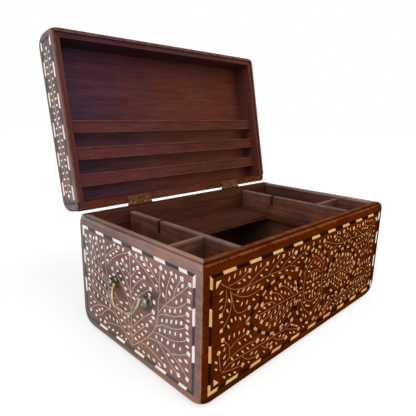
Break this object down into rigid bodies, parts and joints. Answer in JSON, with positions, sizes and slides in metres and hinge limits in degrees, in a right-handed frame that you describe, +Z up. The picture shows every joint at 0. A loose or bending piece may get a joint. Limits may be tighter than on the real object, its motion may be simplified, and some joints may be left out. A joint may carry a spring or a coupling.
{
  "type": "bone inlay box",
  "caption": "Hardwood box with bone vine inlay, hinged lid with letter rack, end trays around a deep well, and a bail handle on each end.",
  "frame": {"origin": "middle of the flat underside, on the surface it stands on", "axes": "+X along the front to the right, +Y to the back, where the hinges are, +Z up"},
  "size_m": [0.487, 0.3699, 0.4434],
  "materials": {
    "rosewood": "old waxed",
    "inner_wood": "dull",
    "bone": "aged polish",
    "ebony": "waxed",
    "hinge_brass": "tarnished",
    "handle_brass": "aged"
  },
  "bodies": {
    "case": {"front_board": "rosewood", "back_board": "rosewood", "left_board": "rosewood", "right_board": "rosewood", "bottom_board": "inner_wood", "left_divider": "inner_wood", "right_divider": "inner_wood", "left_partition": "inner_wood", "right_partition": "inner_wood", "shelf_back": "inner_wood", "shelf_front": "inner_wood", "shelf_left": "inner_wood", "shelf_right": "inner_wood", "left_case_leaf": "hinge_brass", "right_case_leaf": "hinge_brass", "left_hinge_pin": "hinge_brass", "right_hinge_pin": "hinge_brass", "case_hinge_screws": "hinge_brass", "left_roses": "handle_brass", "right_roses": "handle_brass", "front_bone_band": "bone", "back_bone_band": "bone", "left_bone_band": "bone", "right_bone_band": "bone", "front_corner_triangles": "bone", "front_ebony_band": "ebony", "back_ebony_band": "ebony", "left_ebony_band": "ebony", "right_ebony_band": "ebony"},
    "lid": {"lid_front_rail": "rosewood", "lid_back_rail": "rosewood", "lid_left_rail": "rosewood", "lid_right_rail": "rosewood", "lid_panel": "inner_wood", "lower_batten": "inner_wood", "middle_batten": "inner_wood", "upper_batten": "inner_wood", "left_lid_leaf": "hinge_brass", "right_lid_leaf": "hinge_brass", "lid_hinge_screws": "hinge_brass", "lid_front_bone_band": "bone", "lid_back_bone_band": "bone", "lid_left_bone_band": "bone", "lid_right_bone_band": "bone", "lid_top_bone_band": "bone", "lid_front_ebony_band": "ebony", "lid_back_ebony_band": "ebony", "lid_left_ebony_band": "ebony", "lid_right_ebony_band": "ebony", "lid_top_ebony_band": "ebony"},
    "left_bail": {"left_bail": "handle_brass"},
    "right_bail": {"right_bail": "handle_brass"}
  },
  "joints": [
    {"name": "lid_hinge", "type": "hinge", "parent": "case", "child": "lid", "pos_m": [0, 0.1362, 0.1786], "axis": [1, 0, 0], "range_deg": [0, 101.2]},
    {"name": "left_bail_swing", "type": "hinge", "parent": "case", "child": "left_bail", "pos_m": [-0.2315, 0, 0.1035], "axis": [0, 1, 0], "range_deg": [-27, 74]},
    {"name": "right_bail_swing", "type": "hinge", "parent": "case", "child": "right_bail", "pos_m": [0.2315, 0, 0.1035], "axis": [0, -1, 0], "range_deg": [-27, 74]}
  ]
}
